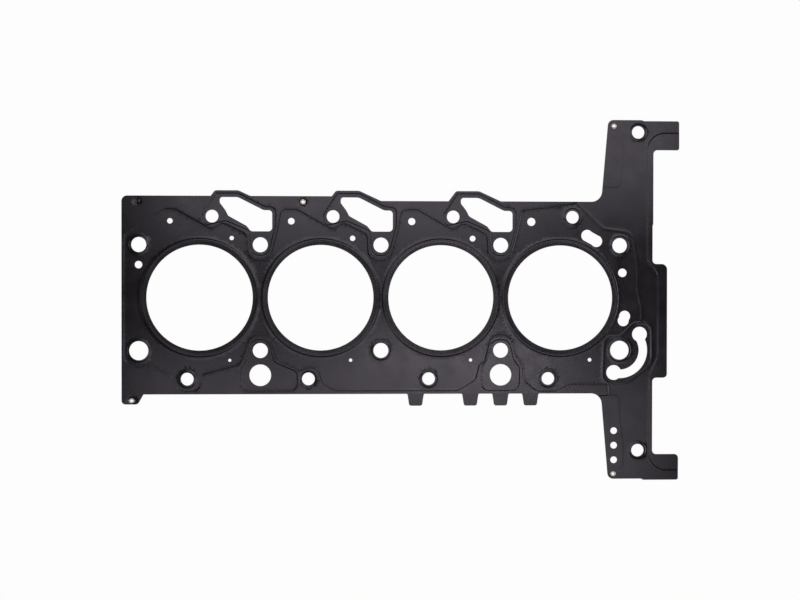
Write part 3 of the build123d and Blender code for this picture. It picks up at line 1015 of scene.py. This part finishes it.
class GASKET_OT_rivets(bpy.types.Operator):
    """Makes the hollow rivets: a rolled head, a shank and a flared foot."""

    bl_idname = "gasket.rivets"
    bl_label = "Rivets"

    def execute(self, context):
        finish = context.scene.gasket_finish
        material = steel_finish("rivet_steel", finish, finish.rivet_roughness)
        seat = CARRIER_TOP + SHEET_THICKNESS
        profile = [
            (1.12, 0.0), (1.58, 0.0), (1.6, 0.05), (1.6, seat), (2.05, seat), (2.14, seat + 0.04),
            (2.15, seat + 0.09), (2.08, seat + 0.15), (1.92, RIVET_TOP - 0.01), (1.7, RIVET_TOP),
            (1.45, RIVET_TOP - 0.015), (1.25, seat + 0.12), (1.13, seat + 0.03), (1.1, seat - 0.1),
            (1.1, 0.05),
        ]
        for node in RIVETS:
            body = turned_piece(f"{node}_body", middle(node), profile, RIVET_STEPS)
            finish_piece(body, material, "rivet_steel", node)
        return {"FINISHED"}


# ---- stage ----
# Metres, watts and degrees.
FLOOR_DROP = 0.0002  # keeps the floor clear of the gasket's underside
FLOOR_X = (-2.2, 1.8)
FLOOR_Y = (-2.0, 2.0)
FLOOR_GLOW = 0.95  # how far it is plain white to the camera
LAMP_HEIGHT = 1.2
# Lamps over both long edges and past both ends: name, x, y, length, width, power, turn.
LAMPS = (
    ("lower_lamp", -0.08, -0.25, 0.84, 0.27, 1.0, -4.0),
    ("lower_middle_lamp", 0.01, -0.185, 0.34, 0.21, 1.2, 0.0),
    ("upper_lamp", -0.03, 0.265, 0.86, 0.31, 1.6, 4.0),
    ("upper_rear_lamp", -0.12, 0.155, 0.50, 0.17, 0.52, 0.0),
    ("rear_side_lamp", -1.60, 0.05, 0.60, 1.20, 11.0, 0.0),
    ("front_side_lamp", 1.15, 0.0, 0.60, 1.20, 7.0, 0.0),
)
CEILING_EDGE = 0.68  # sine of the elevation where the dark ceiling starts to turn pale
WALL_EDGE = 0.40  # and where it has turned into the walls
LENS = 72.0  # millimetres, as the sensor's width
SENSOR_WIDTH = 36.0
CAMERA_PLACE = (-0.200565, 0.011946, 1.323737)
CAMERA_TURN = (-0.5996, -2.9034, 0.0592)
CAMERA_REACH = 20.0


def soft_lamp(name, x, y, length, width, power, turn):
    """A rectangular lamp that shines straight down, turned about the vertical in degrees."""
    lamp = bpy.data.lights.new(name, "AREA")
    lamp.shape = "RECTANGLE"
    lamp.size, lamp.size_y = length, width
    lamp.energy = power
    lamp_object = bpy.data.objects.new(name, lamp)
    lamp_object.location = (x, y, LAMP_HEIGHT)
    lamp_object.rotation_euler.z = np.radians(turn)
    bpy.context.scene.collection.objects.link(lamp_object)


def seen_white(nodes, links):
    """A share of 1 for camera, glossy and transmission rays."""
    path = nodes.new("ShaderNodeLightPath")
    total = path.outputs["Is Camera Ray"]
    for name in ("Is Glossy Ray", "Is Transmission Ray"):
        node = nodes.new("ShaderNodeMath")
        node.operation = "MAXIMUM"
        links.new(total, node.inputs[0])
        links.new(path.outputs[name], node.inputs[1])
        total = node.outputs["Value"]
    return total


class GASKET_OT_stage(bpy.types.Operator):
    """Makes the pale floor, the room's light, the soft lamps and the camera."""

    bl_idname = "gasket.stage"
    bl_label = "Stage"

    def execute(self, context):
        stage = context.scene.gasket_stage
        self.make_floor(stage)
        self.make_room(context, stage)
        for name, x, y, length, width, power, turn in LAMPS:
            soft_lamp(name, x, y, length, width, power * stage.lamp_strength, turn)
        self.make_camera(context)
        context.scene.view_settings.view_transform = "Standard"
        return {"FINISHED"}

    def make_floor(self, stage):
        """A flat floor just under the block face, white to the camera but for its shadow.

        It is clear from below, so the gasket's underside can be seen.
        """
        x, y = np.meshgrid(FLOOR_X, FLOOR_Y)
        vertices = np.stack([x.ravel(), y.ravel(), np.full(4, -FLOOR_DROP)], axis=1) / MM
        floor = new_piece("floor", vertices, [np.array([[0, 1, 3, 2]])])
        material = bpy.data.materials.new("floor_white")
        material.use_nodes = True
        nodes, links = material.node_tree.nodes, material.node_tree.links
        shader = nodes["Principled BSDF"]
        shader.inputs["Base Color"].default_value = (*stage.floor, 1.0)
        shader.inputs["Roughness"].default_value = 1.0
        shader.inputs["Specular IOR Level"].default_value = 0.0
        glow = nodes.new("ShaderNodeEmission")
        glow.inputs["Strength"].default_value = 1.0
        mix = nodes.new("ShaderNodeMixShader")
        share = levels(nodes, links, seen_white(nodes, links), 0.0, 1.0, 0.0, FLOOR_GLOW)
        links.new(share, mix.inputs["Fac"])
        links.new(shader.outputs["BSDF"], mix.inputs[1])
        links.new(glow.outputs["Emission"], mix.inputs[2])
        clear = nodes.new("ShaderNodeBsdfTransparent")
        sides = nodes.new("ShaderNodeNewGeometry")
        one_sided = nodes.new("ShaderNodeMixShader")
        links.new(sides.outputs["Backfacing"], one_sided.inputs["Fac"])
        links.new(mix.outputs["Shader"], one_sided.inputs[1])
        links.new(clear.outputs["BSDF"], one_sided.inputs[2])
        links.new(one_sided.outputs["Shader"], nodes["Material Output"].inputs["Surface"])
        floor.data.materials.append(material)

    def make_room(self, context, stage):
        """Pale walls under a dark ceiling; the camera itself sees white all round."""
        world = bpy.data.worlds.new("room")
        context.scene.world = world
        world.use_nodes = True
        nodes, links = world.node_tree.nodes, world.node_tree.links
        direction = nodes.new("ShaderNodeTexCoord").outputs["Generated"]
        split = nodes.new("ShaderNodeSeparateXYZ")
        links.new(direction, split.inputs["Vector"])
        light = levels(
            nodes, links, split.outputs["Z"], WALL_EDGE, CEILING_EDGE,
            stage.wall_light, stage.ceiling_light, "SMOOTHSTEP",
        )
        path = nodes.new("ShaderNodeLightPath")
        seen = nodes.new("ShaderNodeMapRange")
        links.new(path.outputs["Is Camera Ray"], seen.inputs["Value"])
        links.new(light, seen.inputs["To Min"])
        seen.inputs["To Max"].default_value = 1.0
        links.new(seen.outputs["Result"], nodes["Background"].inputs["Strength"])
        nodes["Background"].inputs["Color"].default_value = (1.0, 1.0, 1.0, 1.0)

    def make_camera(self, context):
        """A long lens high above the gasket, a little to the rear of its middle."""
        lens = bpy.data.cameras.new("camera")
        lens.lens = LENS
        lens.sensor_width = SENSOR_WIDTH
        lens.clip_end = CAMERA_REACH
        camera = bpy.data.objects.new("camera", lens)
        camera.location = CAMERA_PLACE
        camera.rotation_euler = np.radians(CAMERA_TURN)
        context.scene.collection.objects.link(camera)
        context.scene.camera = camera


class GASKET_PT_panel(bpy.types.Panel):
    """Lists the gasket's sizes, colours and pieces."""

    bl_idname = "GASKET_PT_panel"
    bl_label = "Head gasket"
    bl_space_type = "VIEW_3D"
    bl_region_type = "UI"
    bl_category = "Gasket"

    def draw(self, context):
        scene = context.scene
        for group in (scene.gasket_sizes, scene.gasket_finish, scene.gasket_stage):
            box = self.layout.box()
            for name in group.__annotations__:
                box.prop(group, name)
        for operator in OPERATORS:
            self.layout.operator(operator.bl_idname)


GROUPS = {
    "gasket_sizes": GasketSizes,
    "gasket_finish": GasketFinish,
    "gasket_stage": GasketStage,
}
OPERATORS = (
    GASKET_OT_carrier,
    GASKET_OT_beaded_sheet,
    GASKET_OT_stoppers,
    GASKET_OT_rivets,
    GASKET_OT_stage,
)


def register():
    """Registers the classes and gives the scene its property groups."""
    for part in (*GROUPS.values(), *OPERATORS, GASKET_PT_panel):
        bpy.utils.register_class(part)
    for name, group in GROUPS.items():
        setattr(bpy.types.Scene, name, bpy.props.PointerProperty(type=group))


def unregister():
    """Takes back what register did."""
    for name in GROUPS:
        delattr(bpy.types.Scene, name)
    for part in (GASKET_PT_panel, *reversed(OPERATORS), *reversed(GROUPS.values())):
        bpy.utils.unregister_class(part)


def main():
    """Registers the add-on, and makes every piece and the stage."""
    register()
    bpy.ops.gasket.carrier()
    bpy.ops.gasket.beaded_sheet()
    bpy.ops.gasket.stoppers()
    bpy.ops.gasket.rivets()
    bpy.ops.gasket.stage()


if __name__ == "__main__":
    main()
